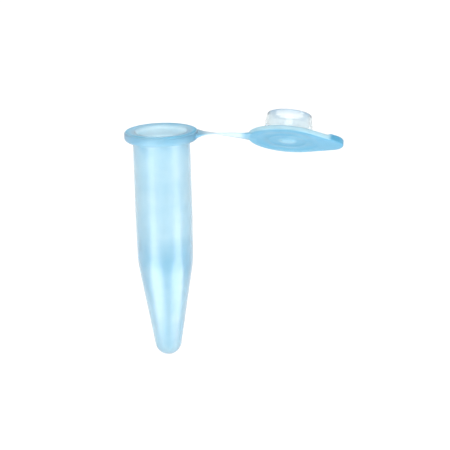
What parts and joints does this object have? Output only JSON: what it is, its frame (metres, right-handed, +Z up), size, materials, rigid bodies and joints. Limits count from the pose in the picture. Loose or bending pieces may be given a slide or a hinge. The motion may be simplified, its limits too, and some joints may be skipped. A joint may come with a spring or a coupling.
{
  "type": "microcentrifuge tube",
  "caption": "Small conical plastic sample tube with a rim flange and a plug lid hanging open on a thin flexible strap.",
  "frame": {"origin": "on the tube's axis at the underside of the rim flange, where the flange rests on a rack", "axes": "+Z up the tube's axis towards the mouth, +X towards the lid strap, +Y makes a right-handed frame"},
  "size_m": [0.0297, 0.01, 0.0341],
  "materials": {
    "tube_plastic": "slightly frosted translucent sky-blue polypropylene",
    "lid_plastic": "slightly frosted translucent sky-blue polypropylene, deeper in colour where it is seen edge on",
    "plug_plastic": "thin clear polypropylene with a faint blue tint",
    "strap_plastic": "very thin clear polypropylene with a faint grey-blue tint"
  },
  "bodies": {
    "tube": {"rim_flange": "tube_plastic", "tube_barrel": "tube_plastic", "conical_bottom": "tube_plastic", "strap_root": "strap_plastic"},
    "strap_1": {"strap_link_1": "strap_plastic"},
    "strap_2": {"strap_link_2": "strap_plastic"},
    "lid": {"lid_disc": "lid_plastic", "thumb_tab": "lid_plastic", "sealing_plug": "plug_plastic", "gate_mark": "lid_plastic", "lid_strap_end": "strap_plastic"}
  },
  "joints": [
    {"name": "strap_root_fold", "type": "hinge", "parent": "tube", "child": "strap_1", "pos_m": [0.00583, 0, 0.00075], "axis": [0.8225, 0.5519, -0.1376], "range_deg": [0, 17.34]},
    {"name": "lid_hinge", "type": "hinge", "parent": "strap_1", "child": "strap_2", "pos_m": [0.00838, 0.00004, 0.00068], "axis": [0.0251, -0.9687, 0.2468], "range_deg": [0, 166.5]},
    {"name": "strap_lid_fold", "type": "hinge", "parent": "strap_2", "child": "lid", "pos_m": [0.01132, 0, 0.00018], "axis": [0.4519, -0.8509, 0.268], "range_deg": [0, 34.12]}
  ],
  "couplings": [
    {"joint": "strap_root_fold", "follows": "lid_hinge", "ratio": 0.10383},
    {"joint": "strap_lid_fold", "follows": "lid_hinge", "ratio": 0.20461}
  ]
}
